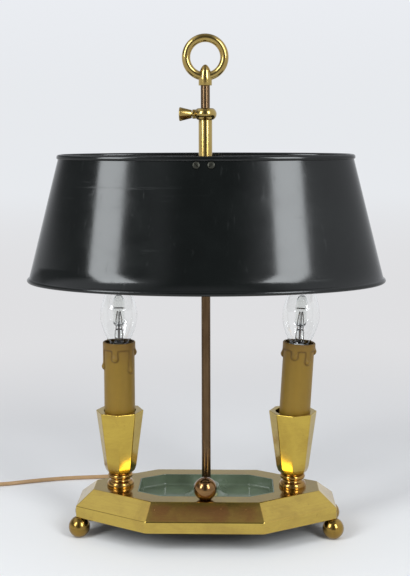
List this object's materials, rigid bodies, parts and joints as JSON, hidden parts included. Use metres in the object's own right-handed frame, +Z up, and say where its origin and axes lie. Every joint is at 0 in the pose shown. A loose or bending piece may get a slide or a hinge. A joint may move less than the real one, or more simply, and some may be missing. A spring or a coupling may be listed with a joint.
{
  "type": "bouillotte lamp",
  "caption": "Table lamp with candle lights on a dished, faceted tray with ball feet, and an oval metal shade that slides and turns on a central rod with a carrying ring.",
  "frame": {"origin": "on the table at the middle of the lamp, where the rod's line meets the plane that the ball feet stand on", "axes": "+Z up along the rod, X along the tray from one candle light to the other, -Y to the front, where the ball knob is"},
  "size_m": [0.5265, 0.2562, 0.4683],
  "materials": {
    "polished_brass": "polished and lacquered",
    "aged_brass": "tarnished brown",
    "shade_paint": "gloss paint on sheet steel",
    "dish_paint": "grey-green satin paint",
    "zinc_steel": "zinc plated",
    "candle_sleeve": "ochre, with moulded drips",
    "phenolic": "moulded",
    "clear_glass": "clear",
    "burner_glass": "clear quartz",
    "cap_metal": "rolled",
    "cord_plastic": "translucent gold sheath"
  },
  "bodies": {
    "root": {"bottom_plate": "zinc_steel", "bottom_plate_screws": "zinc_steel", "carrying_ring": "aged_brass", "cord": "cord_plastic", "cord_coil": "cord_plastic", "cord_gland": "cord_plastic", "dish_liner": "dish_paint", "foot_front_left": "aged_brass", "foot_front_right": "aged_brass", "foot_rear_left": "aged_brass", "foot_rear_right": "aged_brass", "left_bulb_burner": "burner_glass", "left_bulb_cap": "cap_metal", "left_bulb_glass": "clear_glass", "left_candle_cover": "candle_sleeve", "left_cup": "polished_brass", "left_holder_thread": "aged_brass", "left_lampholder": "phenolic", "left_neck": "polished_brass", "left_nipple": "zinc_steel", "left_nipple_nuts": "zinc_steel", "left_stem": "zinc_steel", "plug_body": "cord_plastic", "plug_pins": "polished_brass", "right_bulb_burner": "burner_glass", "right_bulb_cap": "cap_metal", "right_bulb_glass": "clear_glass", "right_candle_cover": "candle_sleeve", "right_cup": "polished_brass", "right_holder_thread": "aged_brass", "right_lampholder": "phenolic", "right_neck": "polished_brass", "right_nipple": "zinc_steel", "right_nipple_nuts": "zinc_steel", "right_stem": "zinc_steel", "ring_post": "aged_brass", "rod": "aged_brass", "rod_nut": "zinc_steel", "rod_socket": "dish_paint", "rod_washer": "zinc_steel", "switch_body": "phenolic", "terminal_block": "phenolic", "tray_casting": "polished_brass"},
    "carriage": {"sliding_tube": "polished_brass", "collar": "aged_brass"},
    "shade_group": {"shade": "shade_paint", "shade_bracket": "aged_brass", "bracket_screws": "aged_brass"},
    "thumbscrew": {"thumbscrew": "aged_brass"},
    "knob": {"ball_knob": "aged_brass"}
  },
  "joints": [
    {"name": "shade_slide", "type": "slide", "parent": "root", "child": "carriage", "axis": [0, 0, 1], "range_m": [-0.1, 0.02]},
    {"name": "shade_swivel", "type": "hinge", "parent": "carriage", "child": "shade_group", "pos_m": [0, 0, 0.345], "axis": [0, 0, 1], "range_deg": [-25, 25]},
    {"name": "thumbscrew_turn", "type": "hinge", "parent": "carriage", "child": "thumbscrew", "pos_m": [-0.018, 0, 0.39495], "axis": [-1, 0, 0], "range_deg": [0, 180]},
    {"name": "knob_turn", "type": "hinge", "parent": "root", "child": "knob", "pos_m": [0, -0.0389, 0.05], "axis": [0, 0, 1], "range_deg": [-90, 0]}
  ]
}
